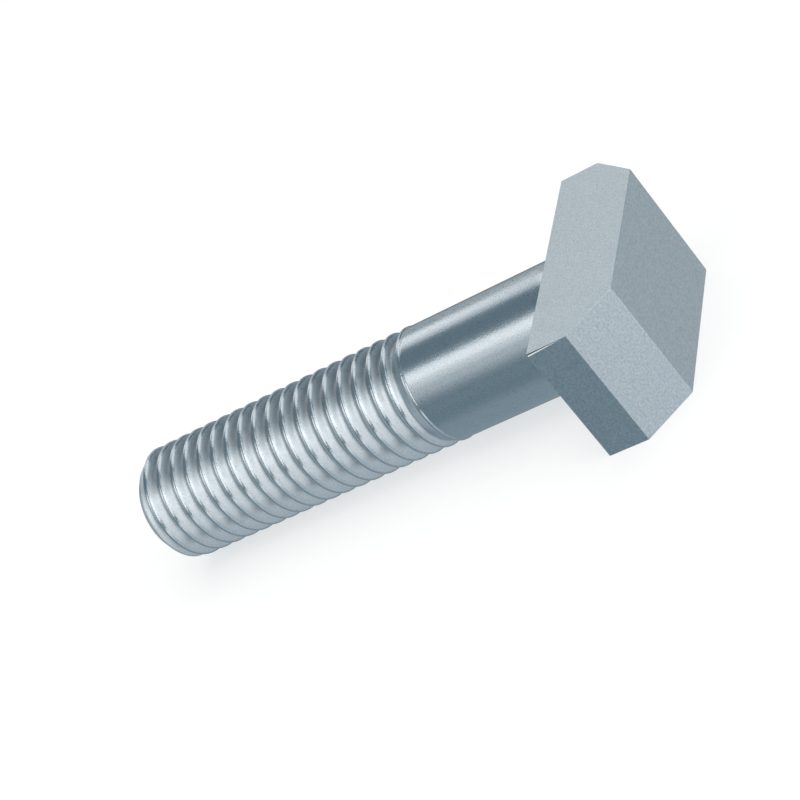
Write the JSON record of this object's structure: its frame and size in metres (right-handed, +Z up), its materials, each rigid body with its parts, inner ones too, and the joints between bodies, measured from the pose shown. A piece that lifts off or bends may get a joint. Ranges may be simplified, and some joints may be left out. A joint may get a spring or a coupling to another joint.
{
  "type": "t-head bolt",
  "caption": "One-piece bolt with a flat-sided T-shaped head, cut outer corners, a plain shank and a coarse metric thread, for holding work down in a T-slot.",
  "frame": {"origin": "on the shank's axis, in the plane of the head's bearing face", "axes": "+X along the shank towards the thread's tip, Y along the head's two wings, +Z up, with the bolt lying on one flat side of its head"},
  "size_m": [0.058, 0.0254, 0.0128],
  "materials": {
    "plated_steel": "satin, zinc plated, faintly blue"
  },
  "bodies": {
    "root": {"t_head_bolt": "plated_steel"}
  },
  "joints": []
}
